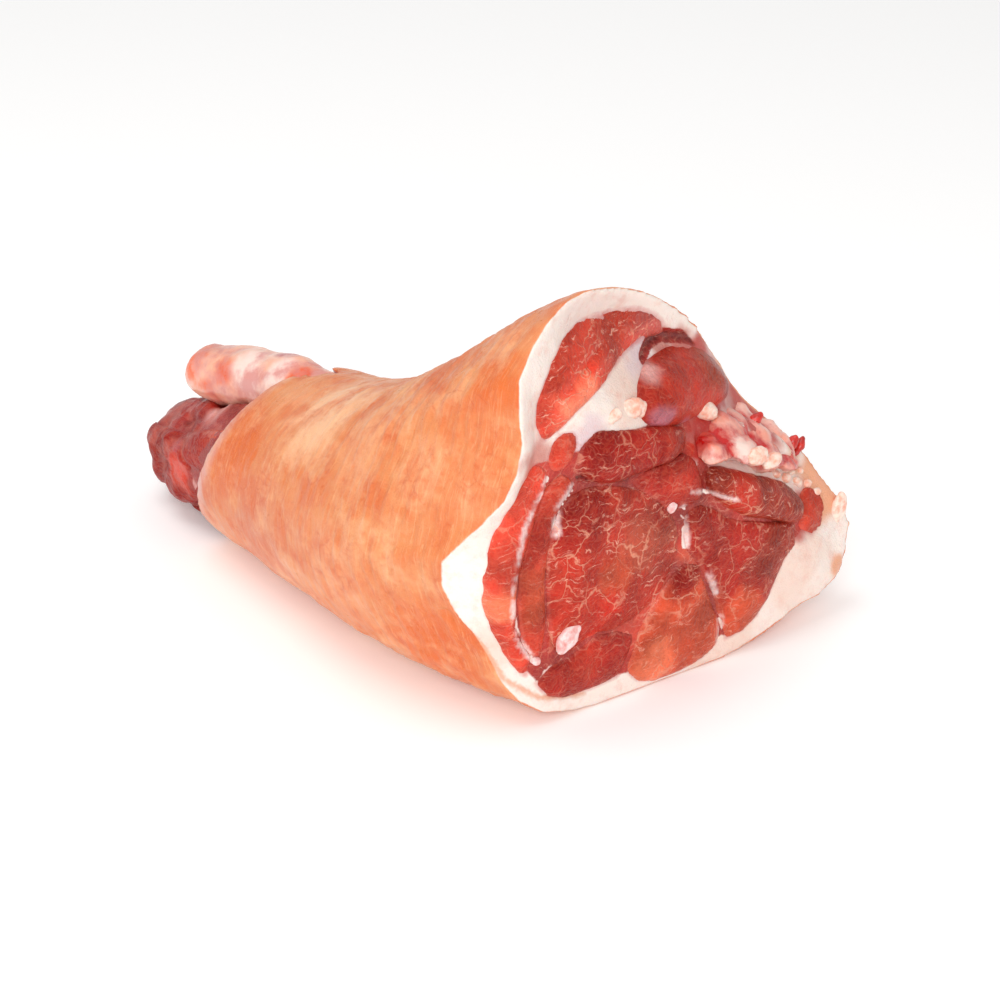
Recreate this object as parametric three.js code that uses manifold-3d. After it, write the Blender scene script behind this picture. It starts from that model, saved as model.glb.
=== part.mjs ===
// Bone-in pork foreleg: the cut shoulder end at +X, the trimmed shank at -X, rind all round.
import * as THREE from 'three';
import { LoftGeometry } from 'three/addons/geometries/LoftGeometry.js';
import { mergeVertices } from 'three/addons/utils/BufferGeometryUtils.js';
import Module from 'manifold-3d';

// Driving dimensions, in millimetres. The cut face looks along +X, y runs across it, z is up.
const FACE_MIDDLE = { y: 40, z: 85 };
const FACE_MEAN_RADIUS = 92;
const SHANK_RADIUS = 42.3;
const FLARE_LENGTH = 92;
const FLARE_POWER = 1.35;
const ROUNDING_LENGTH = 55;
const ROUNDING_POWER = 1.3;
const SHANK_SIDE_SHIFT = -0.5;
const SIDE_SHIFT_LENGTH = 56;
const SIDE_SHIFT_POWER = 1.35;
const REST_SINK = 1.8;
const BACK_FULLNESS = 0.26;
const BACK_FULLNESS_DEPTH = 52;
const BACK_FULLNESS_ANGLE = THREE.MathUtils.degToRad(-8);
const UNDER_RIND_DRAW_IN = 0.05;
const DRAW_IN_DEPTH = 60;

const FACE_FALL = 30;
const FACE_FALL_ANGLE = THREE.MathUtils.degToRad(50);
const FACE_FALL_START = 20;
const FACE_FALL_END = 75;
const RELIEF_DEPTH = 120;
const RIM_BLEND = 0.8;
const RIM_SAMPLES = 360;

const RIND_LENGTH = 202;
const RIND_SLANT = 21;
const STUMP_LENGTH = 283;
const STUMP_CORE = 0.75;
const STUMP_CORE_STATIONS = [283, 278, 271, 261, 245, 223, 193, 150];
const STUMP_CORE_SEGMENTS = 28;
const STUMP_NARROWING = 0.27;
const STUMP_DROP = 14;
const STUMP_SIDE = -8;
const STUMP_TAPER_START = 200;
const STUMP_TAPER_END = 265;
const STUMP_END_ROUNDING = 26;
const STUMP_END_FLAT = 5;
const TABLE_THICKNESS = 50;

const GAP = 0.35;
const OUTLINE_STEP = 8.5;
const FEWEST_SIDES = 8;
const MITRE_LIMIT = 0.4;
const MUSCLE_STATIONS = [0, 18, 52, 96, 150, 205, 245];
const MUSCLE_END_STATIONS = [268, 277, 283];
const LAST_STATION_SPACE = 10;
const END_OVERRUN = 3;
const MOUTH_OVERRUN = 8;
const BODY_RINGS = 15;
const BODY_RING_CROWDING = 1.25;
const BODY_SEGMENTS = 50;
const FACE_RINGS = [0.93, 0.82, 0.66, 0.46, 0.24];

// The dome of a cut muscle, in rings: how far each is drawn in, and its share of the bulge.
const DOME_RINGS = [{ drawIn: 0.22, rise: 0.5 }, { drawIn: 0.5, rise: 0.85 }, { drawIn: 0.75, rise: 1 }];

// The edge of the rind round the cut face: y, z, and how far it stands forward of the cut.
const RIM = [
  [-6, 7, 0], [17, 2, 0], [43, 0, 0], [75, 0, 0], [107, 5, 0], [130, 12, -1], [152, 16, -3],
  [161, 26, -6], [163.5, 46, -9], [156, 58, -14], [145, 77, -22], [122, 101, -32], [107, 122, -32],
  [89, 146, -28], [67, 163, -22], [46, 174, -16], [27, 180, -10], [10, 182, -5], [-9, 173, 0],
  [-23, 157, 5], [-23, 133, 8], [-29, 115, 8], [-37, 96, -4], [-46, 80, -15], [-43, 66, -16],
  [-31, 43, -10], [-19, 18, -4],
];

// The muscles that the cut crosses: outline on the face, bulge of the cut face, length inward.
const MUSCLES = {
  muscle_top: {
    outline: [[-7, 129], [12, 139], [34, 145], [54, 147], [75, 144], [68, 153], [51, 162], [22, 166],
      [2, 161], [-7, 152], [-11, 138]],
    spine: [[2, 147], [30, 155], [62, 151]],
    bulge: 3, length: 150, colour: 0xb5433c,
  },
  muscle_shoulder_dome: {
    outline: [[43, 125], [50, 120], [64, 116], [84, 112], [100, 109], [112, 107], [112, 113],
      [106, 121], [98, 129], [89, 135], [78, 138], [66, 138], [52, 134]],
    spine: [[62, 126], [92, 121]],
    bulge: 9, length: 75, colour: 0x8e3340,
  },
  muscle_small_notch: {
    outline: [[-3, 115], [4, 115], [8, 121], [7, 127], [1, 128], [-4, 122]],
    spine: [[2, 121]],
    bulge: 1, length: 110, colour: 0x8f2f30,
  },
  muscle_upper_middle: {
    outline: [[11, 112], [17, 105], [28, 101], [44, 103], [60, 104], [70, 108], [63, 112], [48, 117],
      [30, 121], [17, 124], [11, 119]],
    spine: [[24, 112], [50, 109]],
    bulge: 5, length: STUMP_LENGTH, colour: 0xb43c35,
  },
  muscle_left_outer: {
    outline: [[-14, 27], [-12, 31], [-17, 40], [-20.5, 51], [-21.5, 64], [-19.5, 77], [-15, 88],
      [-10, 102], [-6, 111], [-8, 118], [-14, 119], [-21, 111], [-25, 101], [-29.5, 86], [-30, 69],
      [-26, 53], [-20, 37]],
    spine: [[-17, 38], [-25, 60], [-24, 80], [-18, 98], [-13, 112]],
    bulge: 2, length: STUMP_LENGTH, colour: 0xc0483f,
  },
  muscle_left_inner: {
    outline: [[-9, 34], [-7, 44], [-7, 58], [-7, 75], [-5, 88], [-1, 98], [4, 103], [7, 107], [3, 110],
      [-3, 109], [-7, 102], [-12, 90], [-16, 78], [-18, 66], [-17, 52], [-14, 39]],
    spine: [[-11, 46], [-12, 68], [-9, 86], [-1, 104]],
    bulge: 2, length: STUMP_LENGTH, colour: 0xae3f38,
  },
  muscle_centre: {
    outline: [[6, 32], [18, 37], [33, 36], [49, 43], [58, 54], [61, 64], [58, 74], [48, 87], [33, 96],
      [15, 101], [3, 97], [-2, 88], [-4, 75], [-4, 60], [-3, 46], [-1, 37]],
    spine: [[12, 56], [28, 66], [16, 82]],
    bulge: 4, length: STUMP_LENGTH, colour: 0xa43a31,
  },
  muscle_bottom_left: {
    outline: [[-9, 22], [-5, 16], [6, 12], [20, 12], [31, 13], [36, 21], [38, 29], [30, 32], [18, 33],
      [8, 28], [-5, 27]],
    spine: [[2, 20], [28, 23]],
    bulge: 2, length: STUMP_LENGTH, colour: 0xb8453a,
  },
  muscle_bottom_middle: {
    outline: [[37, 13], [45, 6], [58, 5], [75, 7], [83, 12], [84, 19], [80, 28], [75, 41], [70, 52],
      [63, 52], [52, 40], [43, 29], [40, 20]],
    spine: [[52, 16], [66, 38]],
    bulge: 3, length: STUMP_LENGTH, colour: 0xc4553f,
  },
  muscle_right: {
    outline: [[89, 12], [97, 13], [106, 19], [114, 32], [119, 41], [125, 46], [127, 51], [102, 60],
      [87, 67], [76, 76], [66, 77], [64, 70], [67, 60], [75, 49], [80, 38], [85, 26], [88, 18]],
    spine: [[98, 30], [95, 48], [74, 68]],
    bulge: 3, length: STUMP_LENGTH, colour: 0xb94039,
  },
  muscle_under_knuckle: {
    outline: [[77, 84], [85, 76], [94, 69], [108, 62.5], [129, 54], [133, 58], [129, 65], [117, 73],
      [102, 80], [88, 88], [78, 91]],
    spine: [[84, 84], [106, 71], [126, 60]],
    bulge: 7, length: STUMP_LENGTH, colour: 0xa33a35,
  },
  muscle_middle_wedge: {
    outline: [[38, 98], [45, 92], [54, 84], [62, 79.5], [68, 81.5], [73, 82], [72, 88], [70, 95],
      [65, 101], [52, 100]],
    spine: [[55, 93], [66, 87]],
    bulge: 2, length: STUMP_LENGTH, colour: 0xb24438,
  },
  muscle_corner: {
    outline: [[133, 48], [139, 45], [146, 50], [146, 54], [140, 58], [136, 55]],
    spine: [[140, 51]],
    bulge: 1, length: 110, colour: 0x8c2f2d,
  },
};

const wasm = await Module();
wasm.setup();

const { lerp } = THREE.MathUtils;
const smooth = (value, from, to) => THREE.MathUtils.smoothstep(value, from, to);

function closedCurve(points) {
  const corners = points.map(([y, z, forward = 0]) => new THREE.Vector3(y, z, forward));
  return new THREE.CatmullRomCurve3(corners, true, 'centripetal');
}

// The rim sampled finely, so that its radius and forward stand can be read at any angle.
const rimSamples = closedCurve(RIM).getPoints(RIM_SAMPLES).map((point) => ({
  angle: Math.atan2(point.y - FACE_MIDDLE.z, point.x - FACE_MIDDLE.y),
  radius: Math.hypot(point.x - FACE_MIDDLE.y, point.y - FACE_MIDDLE.z),
  forward: point.z,
})).sort((a, b) => a.angle - b.angle);

function rimAt(angle) {
  const count = rimSamples.length;
  let next = rimSamples.findIndex((sample) => sample.angle > angle);
  if (next < 0) next = 0;
  const after = rimSamples[next];
  const before = rimSamples[(next + count - 1) % count];
  const turn = 2 * Math.PI;
  const span = (after.angle - before.angle + turn) % turn || turn;
  const share = ((angle - before.angle + turn) % turn) / span;
  return {
    radius: lerp(before.radius, after.radius, share),
    forward: lerp(before.forward, after.forward, share),
  };
}

// How the leg narrows, turns round and shifts sideways with the depth behind the cut face.
function girth(depth) {
  const flare = Math.exp(-((depth / FLARE_LENGTH) ** FLARE_POWER));
  return lerp(SHANK_RADIUS, FACE_MEAN_RADIUS, flare);
}

const roundness = (depth) => 1 - Math.exp(-((depth / ROUNDING_LENGTH) ** ROUNDING_POWER));

function sideShift(depth) {
  const share = Math.exp(-((depth / SIDE_SHIFT_LENGTH) ** SIDE_SHIFT_POWER));
  return lerp(SHANK_SIDE_SHIFT, FACE_MIDDLE.y, share);
}

function faceFall(y, z) {
  const along = (y - FACE_MIDDLE.y) * Math.cos(FACE_FALL_ANGLE)
    + (z - FACE_MIDDLE.z) * Math.sin(FACE_FALL_ANGLE);
  return -FACE_FALL * smooth(along, FACE_FALL_START, FACE_FALL_END);
}

// A point of the cut face carried to a depth behind it, as the leg narrows toward the shank.
function place(y, z, depth, narrowing = 0, drop = 0, side = 0) {
  const across = y - FACE_MIDDLE.y;
  const rise = z - FACE_MIDDLE.z;
  const angle = Math.atan2(rise, across);
  const rim = rimAt(angle);
  const share = Math.hypot(across, rise) / rim.radius;
  const behind = Math.max(depth, 0);
  const mean = girth(behind);
  const round = roundness(behind);
  const shaped = lerp(rim.radius * mean / FACE_MEAN_RADIUS, mean, round);
  const swell = (behind / BACK_FULLNESS_DEPTH) * Math.exp(1 - behind / BACK_FULLNESS_DEPTH);
  const facing = Math.max(0, Math.cos(angle - BACK_FULLNESS_ANGLE)) ** 3;
  const fullness = 1 + BACK_FULLNESS * swell ** 2 * facing;
  const radius = share * shaped * fullness * (1 - narrowing);
  const height = lerp(FACE_MIDDLE.z * mean / FACE_MEAN_RADIUS, mean, round) - REST_SINK - drop;
  const stand = lerp(faceFall(y, z), rim.forward, smooth(share, RIM_BLEND, 1));
  const x = -depth + stand * (1 - smooth(behind, 0, RELIEF_DEPTH));
  const middle = sideShift(behind) + side;
  return new THREE.Vector3(x, middle + radius * Math.cos(angle), height + radius * Math.sin(angle));
}

// The same for what lies under the rind: it draws in and down toward the rounded end of the stump.
function placeInner(y, z, depth) {
  const taper = smooth(depth, STUMP_TAPER_START, STUMP_TAPER_END);
  const fromEnd = STUMP_LENGTH - Math.min(depth, STUMP_LENGTH);
  const overEnd = Math.max(0, STUMP_END_ROUNDING - fromEnd) / (STUMP_END_ROUNDING + STUMP_END_FLAT);
  const endShare = Math.sqrt(1 - overEnd ** 2);
  const drawIn = UNDER_RIND_DRAW_IN * smooth(depth, 0, DRAW_IN_DEPTH);
  const narrowing = 1 - (1 - STUMP_NARROWING * taper) * (1 - drawIn) * endShare;
  return place(y, z, depth, narrowing, STUMP_DROP * taper, STUMP_SIDE * taper);
}

function toManifold(geometry) {
  const bare = new THREE.BufferGeometry().copy(geometry);
  bare.deleteAttribute('normal');
  bare.deleteAttribute('uv');
  const merged = mergeVertices(bare, 1e-4);
  return new wasm.Manifold(new wasm.Mesh({
    numProp: 3,
    vertProperties: new Float32Array(merged.attributes.position.array),
    triVerts: new Uint32Array(merged.index.array),
  }));
}

function toGeometry(solid) {
  const mesh = solid.getMesh();
  const geometry = new THREE.BufferGeometry();
  geometry.setAttribute('position', new THREE.BufferAttribute(mesh.vertProperties, 3));
  geometry.setIndex(new THREE.BufferAttribute(mesh.triVerts, 1));
  return geometry;
}

const loft = (sections) => toManifold(new LoftGeometry(sections, { capStart: true, capEnd: true }));

// The body: the rind's outline lofted from its slanting shank edge to the rim, closed by the face.
function bodySolid() {
  const outline = closedCurve(RIM).getSpacedPoints(BODY_SEGMENTS).slice(0, -1);
  const ring = (share, depthOf) => outline.map((point) => {
    const y = lerp(FACE_MIDDLE.y, point.x, share);
    const z = lerp(FACE_MIDDLE.z, point.y, share);
    return place(y, z, depthOf(point));
  });
  const sections = [];
  for (let i = BODY_RINGS; i >= 0; i -= 1) {
    const along = (i / BODY_RINGS) ** BODY_RING_CROWDING;
    sections.push(ring(1, (point) => {
      const angle = Math.atan2(point.y - FACE_MIDDLE.z, point.x - FACE_MIDDLE.y);
      return along * (RIND_LENGTH - RIND_SLANT * Math.sin(angle));
    }));
  }
  FACE_RINGS.forEach((share) => sections.push(ring(share, () => 0)));
  return loft(sections);
}

// The web of fat and sinew that carries on past the rind between the muscles of the stump.
function stumpCoreSolid() {
  const outline = closedCurve(RIM).getSpacedPoints(STUMP_CORE_SEGMENTS).slice(0, -1);
  return loft(STUMP_CORE_STATIONS.map((depth) => outline.map((point) => placeInner(
    lerp(FACE_MIDDLE.y, point.x, STUMP_CORE),
    lerp(FACE_MIDDLE.z, point.y, STUMP_CORE),
    depth,
  ))));
}

// Outline points of a muscle with their outward directions, longer at corners so edges move evenly.
function outlineOf(muscle) {
  const curve = closedCurve(muscle.outline);
  const count = Math.max(FEWEST_SIDES, Math.round(curve.getLength() / OUTLINE_STEP));
  const points = curve.getSpacedPoints(count).slice(0, -1);
  return points.map((point, index) => {
    const before = points[(index + count - 1) % count];
    const after = points[(index + 1) % count];
    const sideIn = new THREE.Vector2(point.y - before.y, before.x - point.x).normalize();
    const sideOut = new THREE.Vector2(after.y - point.y, point.x - after.x).normalize();
    const outward = sideIn.clone().add(sideOut).normalize();
    const reach = 1 / Math.max(outward.dot(sideIn), MITRE_LIMIT);
    return { y: point.x, z: point.y, outY: outward.x * reach, outZ: outward.y * reach };
  });
}

function nearestOnSpine(spine, y, z) {
  const here = new THREE.Vector3(y, z, 0);
  const knots = spine.map(([a, b]) => new THREE.Vector3(a, b, 0));
  const candidates = knots.slice(1).map((knot, index) => {
    return new THREE.Line3(knots[index], knot).closestPointToPoint(here, true, new THREE.Vector3());
  });
  return [knots[0], ...candidates].reduce((best, one) => (
    one.distanceTo(here) < best.distanceTo(here) ? one : best));
}

// A muscle runs from its domed cut face back toward the shank; growth widens it evenly.
function muscleSolid(muscle, growth) {
  const outline = outlineOf(muscle);
  const throughEnds = growth > 0
    ? [...MUSCLE_END_STATIONS, STUMP_LENGTH + END_OVERRUN] : MUSCLE_END_STATIONS;
  const ends = muscle.length < STUMP_LENGTH ? [muscle.length + growth] : throughEnds;
  const lastStation = muscle.length - LAST_STATION_SPACE;
  const depths = [...MUSCLE_STATIONS.filter((depth) => depth < lastStation), ...ends];
  const sections = depths.reverse().map((depth) => {
    const swell = growth * FACE_MEAN_RADIUS / girth(depth);
    return outline.map(({ y, z, outY, outZ }) => placeInner(y + outY * swell, z + outZ * swell, depth));
  });
  const faceRing = (drawIn, raise) => outline.map(({ y, z, outY, outZ }) => {
    const toward = nearestOnSpine(muscle.spine, y, z);
    const spot = place(
      lerp(y + outY * growth, toward.x, drawIn),
      lerp(z + outZ * growth, toward.y, drawIn),
      0,
    );
    spot.x += raise;
    return spot;
  });
  if (growth > 0) {
    sections.push(faceRing(0, muscle.bulge + MOUTH_OVERRUN));
  } else {
    DOME_RINGS.forEach(({ drawIn, rise }) => sections.push(faceRing(drawIn, muscle.bulge * rise)));
  }
  return loft(sections);
}

// The knuckle of the upper bone, proud of the cut below the domed muscle.
const KNUCKLE = {
  outline: [[74, 98], [87, 93], [103, 84.5], [123, 76.5], [138, 70], [138, 76], [134, 84], [127, 90],
    [120, 96], [110, 101], [98, 104], [82, 106], [74, 104]],
  spine: [[84, 100], [106, 92], [128, 80]],
  bulge: 12,
  rootRings: [{ drawIn: 0.8, depth: 55 }, { drawIn: 0.3, depth: 51 }, { drawIn: 0.05, depth: 33 }],
  domeRings: [{ drawIn: 0.1, rise: 0.5 }, { drawIn: 0.4, rise: 0.9 }, { drawIn: 0.8, rise: 1 }],
  colour: 0xe7a596,
};

function knuckleSolid(growth) {
  const outline = outlineOf(KNUCKLE);
  const ring = (drawIn, depth, raise) => outline.map(({ y, z, outY, outZ }) => {
    const toward = nearestOnSpine(KNUCKLE.spine, y, z);
    const spot = place(
      lerp(y, toward.x, drawIn) + outY * growth,
      lerp(z, toward.y, drawIn) + outZ * growth,
      depth,
    );
    spot.x += raise;
    return spot;
  });
  const sections = KNUCKLE.rootRings.map(({ drawIn, depth }) => ring(drawIn, depth + growth, 0));
  sections.push(ring(0, 0, 0));
  if (growth > 0) {
    sections.push(ring(0, 0, KNUCKLE.bulge + MOUTH_OVERRUN));
  } else {
    KNUCKLE.domeRings.forEach(({ drawIn, rise }) => sections.push(ring(drawIn, 0, KNUCKLE.bulge * rise)));
  }
  return loft(sections);
}

// The shank bone: a club of bone and gristle lying on top of the stump, drawn from its stations.
const SHANK_BONE = {
  stations: [
    { x: -150, y: 2, z: 76, radius: 7 }, { x: -170, y: 2, z: 82, radius: 11 },
    { x: -192, y: 1, z: 79, radius: 13.5 }, { x: -216, y: 0, z: 73, radius: 14.5 },
    { x: -242, y: -2, z: 67, radius: 14.5 }, { x: -259, y: -3, z: 65, radius: 12.5 },
    { x: -268, y: -3, z: 65, radius: 7 },
  ],
  sides: 18,
  breadth: 1.05,
  colour: 0xe9a98f,
};

function shankBoneSolid(growth) {
  const sections = SHANK_BONE.stations.map((station, index) => {
    const isEnd = index === 0 || index === SHANK_BONE.stations.length - 1;
    const push = isEnd ? growth * (index === 0 ? 1 : -1) : 0;
    const ring = [];
    for (let i = 0; i < SHANK_BONE.sides; i += 1) {
      const angle = 2 * Math.PI * i / SHANK_BONE.sides;
      const radius = station.radius + growth;
      ring.push(new THREE.Vector3(
        station.x + push,
        station.y + radius * Math.cos(angle) * SHANK_BONE.breadth,
        station.z + radius * Math.sin(angle),
      ));
    }
    return ring;
  });
  return loft(sections.reverse());
}

const group = new THREE.Group();
group.name = 'pork_foreleg';

function addPart(name, solid, colour, roughness) {
  const material = new THREE.MeshStandardMaterial({ color: colour, roughness, metalness: 0 });
  material.name = `${name}_material`;
  const mesh = new THREE.Mesh(toGeometry(solid), material);
  mesh.name = name;
  group.add(mesh);
}

// Everything cut from the fat, so that each muscle and bone sits in it with a hair of room.
function fatSolid() {
  let fat = bodySolid().add(stumpCoreSolid());
  Object.values(MUSCLES).forEach((muscle) => {
    fat = fat.subtract(muscleSolid(muscle, GAP));
  });
  fat = fat.subtract(knuckleSolid(GAP)).subtract(shankBoneSolid(GAP));
  const table = new THREE.BoxGeometry(2 * STUMP_LENGTH, 2 * STUMP_LENGTH, TABLE_THICKNESS);
  table.translate(-STUMP_LENGTH / 2, 0, -TABLE_THICKNESS / 2);
  return fat.subtract(toManifold(table));
}

addPart('rind_and_fat', fatSolid(), 0xe9a36f, 0.45);
Object.entries(MUSCLES).forEach(([name, muscle]) => {
  addPart(name, muscleSolid(muscle, 0), muscle.colour, 0.35);
});
addPart('knuckle_bone', knuckleSolid(0), KNUCKLE.colour, 0.4);
addPart('shank_bone', shankBoneSolid(0), SHANK_BONE.colour, 0.4);

// The origin is the middle of the resting box: centred in x and y, with the flat rest at z = 0.
const box = new THREE.Box3().setFromObject(group);
const middle = box.getCenter(new THREE.Vector3());
group.children.forEach((mesh) => mesh.geometry.translate(-middle.x, -middle.y, -box.min.z));

export default group;
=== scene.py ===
"""A raw bone-in pork foreleg with its rind on, lying on a pale table, cut face toward the camera."""

import math

import bpy
import numpy as np
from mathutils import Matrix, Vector, noise
from mathutils.bvhtree import BVHTree


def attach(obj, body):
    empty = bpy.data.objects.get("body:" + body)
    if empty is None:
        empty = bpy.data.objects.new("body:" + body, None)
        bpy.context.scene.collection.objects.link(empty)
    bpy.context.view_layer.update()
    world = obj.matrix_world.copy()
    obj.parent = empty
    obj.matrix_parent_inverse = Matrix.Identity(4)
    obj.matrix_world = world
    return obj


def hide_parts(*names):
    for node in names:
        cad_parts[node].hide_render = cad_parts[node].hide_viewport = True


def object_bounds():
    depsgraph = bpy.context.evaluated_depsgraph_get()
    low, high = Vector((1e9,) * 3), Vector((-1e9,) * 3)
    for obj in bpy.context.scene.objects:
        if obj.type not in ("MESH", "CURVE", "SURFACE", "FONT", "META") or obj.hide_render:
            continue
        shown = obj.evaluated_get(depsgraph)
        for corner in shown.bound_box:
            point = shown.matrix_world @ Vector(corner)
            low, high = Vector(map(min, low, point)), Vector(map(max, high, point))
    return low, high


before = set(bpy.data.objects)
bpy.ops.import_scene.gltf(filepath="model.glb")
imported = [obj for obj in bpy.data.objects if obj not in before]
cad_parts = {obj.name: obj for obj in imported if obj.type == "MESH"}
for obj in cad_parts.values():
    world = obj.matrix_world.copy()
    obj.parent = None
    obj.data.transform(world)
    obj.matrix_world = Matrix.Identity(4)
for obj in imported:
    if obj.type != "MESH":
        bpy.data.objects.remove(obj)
bounds_at_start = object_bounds()

# The rind and the fat under it: tan scalded pigskin, about 3 mm thick, over firm white back fat.
# The fat shows where the rind has drawn back at the cut and as the pale sinew between the muscles.
# It is one piece, as on the real leg, and the line where rind turns to fat is painted on it.
MM = 0.001
RIND_VOXEL = 1.5 * MM
RIND_SMOOTHING = 4
RIM_SMOOTHING = 10
# The tunnels of the muscles are filled up to a little below the cut, and the knuckle's pocket deeper down.
PLUG_RECESS = 1.7 * MM
KNUCKLE_RECESS = 10 * MM
PLUG_FADE = 20 * MM
PLUG_FRONT = 5 * MM
PLUG_BACK = 2 * MM
# Two faces belong to the same skin where their normals turn by less than this cosine tells.
RIM_TURN = 0.8
# A face of a tunnel has a muscle within this reach, and a face of the cut has none.
LINING_REACH = 1.5 * MM
MUSCLE_NODES = sorted(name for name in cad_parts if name.startswith("muscle_"))
BONE_NODES = ["knuckle_bone", "shank_bone"]
BOX_LOW, BOX_HIGH = (np.array(corner) for corner in bounds_at_start)


def pick_only(piece):
    """Selects this piece and nothing else, and makes it the active one."""
    bpy.ops.object.select_all(action="DESELECT")
    piece.select_set(True)
    bpy.context.view_layer.objects.active = piece


def merged_copy(node_name, piece_name):
    """A copy of a node's mesh with its loose triangles welded together."""
    piece = bpy.data.objects.new(piece_name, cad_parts[node_name].data.copy())
    piece.data.materials.clear()
    bpy.context.scene.collection.objects.link(piece)
    pick_only(piece)
    bpy.ops.object.mode_set(mode="EDIT")
    bpy.ops.mesh.select_all(action="SELECT")
    bpy.ops.mesh.remove_doubles(threshold=0.001 * MM)
    bpy.ops.object.mode_set(mode="OBJECT")
    return piece


def join_into(piece, others):
    """Joins the other pieces into this one."""
    pick_only(piece)
    for other in others:
        other.select_set(True)
    bpy.ops.object.join()


def shape(piece, kind, **settings):
    """Adds one modifier with its settings and applies it."""
    pick_only(piece)
    modifier = piece.modifiers.new(kind.title(), kind)
    for name, value in settings.items():
        setattr(modifier, name, value)
    bpy.ops.object.modifier_apply(modifier=modifier.name)


def even_skin(piece, voxel, smoothing):
    """Rebuilds the surface from even quads and relaxes the facets away."""
    shape(piece, "REMESH", mode="VOXEL", voxel_size=voxel, use_smooth_shade=True)
    shape(piece, "SMOOTH", factor=0.5, iterations=smoothing)


def ripple(piece, size, height, kind="CLOUDS"):
    """Pushes the surface in and out with a lumpy pattern of the given lump size and height."""
    pattern = bpy.data.textures.new(f"{piece.name} ripple", kind)
    pattern.noise_scale = size
    shape(piece, "DISPLACE", texture=pattern, texture_coords="LOCAL", strength=height, mid_level=0.5)


def tree_of(*objects):
    """A search tree over the faces of several objects together."""
    corners, faces = [], []
    for thing in objects:
        start = len(corners)
        corners.extend(vertex.co.copy() for vertex in thing.data.vertices)
        faces.extend(tuple(start + index for index in face.vertices) for face in thing.data.polygons)
    return BVHTree.FromPolygons(corners, faces)


def rows_of(piece, kind="co"):
    """The places or the normals of a mesh's vertices as rows of x, y and z."""
    rows = np.empty(len(piece.data.vertices) * 3)
    piece.data.vertices.foreach_get(kind, rows)
    return rows.reshape(-1, 3)


def put_places(piece, rows):
    """Moves the vertices to these places, held inside the measured box of the leg."""
    piece.data.vertices.foreach_set("co", np.clip(rows, BOX_LOW, BOX_HIGH).ravel())
    piece.data.update()


def distances(rows, tree):
    """How far each place lies from the nearest face of a tree."""
    return np.array([tree.find_nearest(Vector(row))[3] for row in rows])


def paint_value(piece, name, values):
    """Stores one number for each vertex, for a material to read by name."""
    layer = piece.data.attributes.new(name, "FLOAT", "POINT")
    layer.data.foreach_set("value", np.asarray(values, dtype=np.float32))


def paint_colour(piece, name, colours):
    """Stores one colour for each vertex, for a material to read by name."""
    layer = piece.data.attributes.new(name, "FLOAT_COLOR", "POINT")
    filled = np.ones((len(colours), 4), dtype=np.float32)
    filled[:, :3] = colours
    layer.data.foreach_set("color", filled.ravel())


def linear(hex_colour):
    """An sRGB hex colour as linear red, green and blue."""
    shares = [int(hex_colour[start:start + 2], 16) / 255 for start in (1, 3, 5)]
    return [share / 12.92 if share <= 0.04045 else ((share + 0.055) / 1.055) ** 2.4 for share in shares]


def opaque(hex_colour):
    return (*linear(hex_colour), 1.0)


def smooth_step(value, low, high):
    share = np.clip((value - low) / (high - low), 0.0, 1.0)
    return share * share * (3 - 2 * share)


def cloud(rows, size, seed):
    """A soft random value from -1 to 1 at each place, in clouds of the given size."""
    shift = Vector((seed * 7.1, seed * 3.3, seed * 5.7))
    return np.array([noise.fractal(Vector(row) / size + shift, 1.0, 2.0, 3) for row in rows])


def blended(colours, other, share):
    """Colours moved by a share for each vertex toward one hex colour, or toward a second set."""
    target = np.array(linear(other)) if isinstance(other, str) else other
    return colours + share[:, None] * (target - colours)


def toned(rows, ground, patches, seed):
    """A ground colour with soft-edged patches laid over it, each at a place in mm with its radius."""
    wander = cloud(rows, 11 * MM, seed)
    colours = np.tile(linear(ground), (len(rows), 1))
    for place, radius, hex_colour in patches:
        axes = slice(3 - len(place), 3)
        away = np.linalg.norm(rows[:, axes] - np.array(place) * MM, axis=1) / (radius * MM)
        colours = blended(colours, hex_colour, 1 - smooth_step(away + 0.4 * wander, 0.45, 1.15))
    return colours


def add(material, kind, settings, inputs):
    """Adds one node with its settings, and sets or joins each of its named inputs."""
    tree = material.node_tree
    node = tree.nodes.new(kind)
    for name, value in settings.items():
        setattr(node, name, value)
    for key, source in inputs.items():
        if isinstance(source, bpy.types.NodeSocket):
            tree.links.new(source, node.inputs[key])
        else:
            node.inputs[key].default_value = source
    return node


def new_material(name):
    """An empty material, ready for its nodes."""
    material = bpy.data.materials.new(name)
    material.use_nodes = True
    material.node_tree.nodes.clear()
    return material


def plug(node_name, recess):
    """A filling for a muscle's tunnel, with both of its ends drawn in below the cut."""
    filling = merged_copy(node_name, f"{node_name}_plug")
    rows = rows_of(filling)
    back, front = rows[:, 0].min(), rows[:, 0].max()
    near_front = smooth_step(rows[:, 0], front - PLUG_FADE, front - PLUG_FRONT)
    near_back = 1 - smooth_step(rows[:, 0], back + PLUG_BACK, back + PLUG_FADE)
    rows[:, 0] += recess * (near_back - near_front)
    put_places(filling, rows)
    return filling


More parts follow.
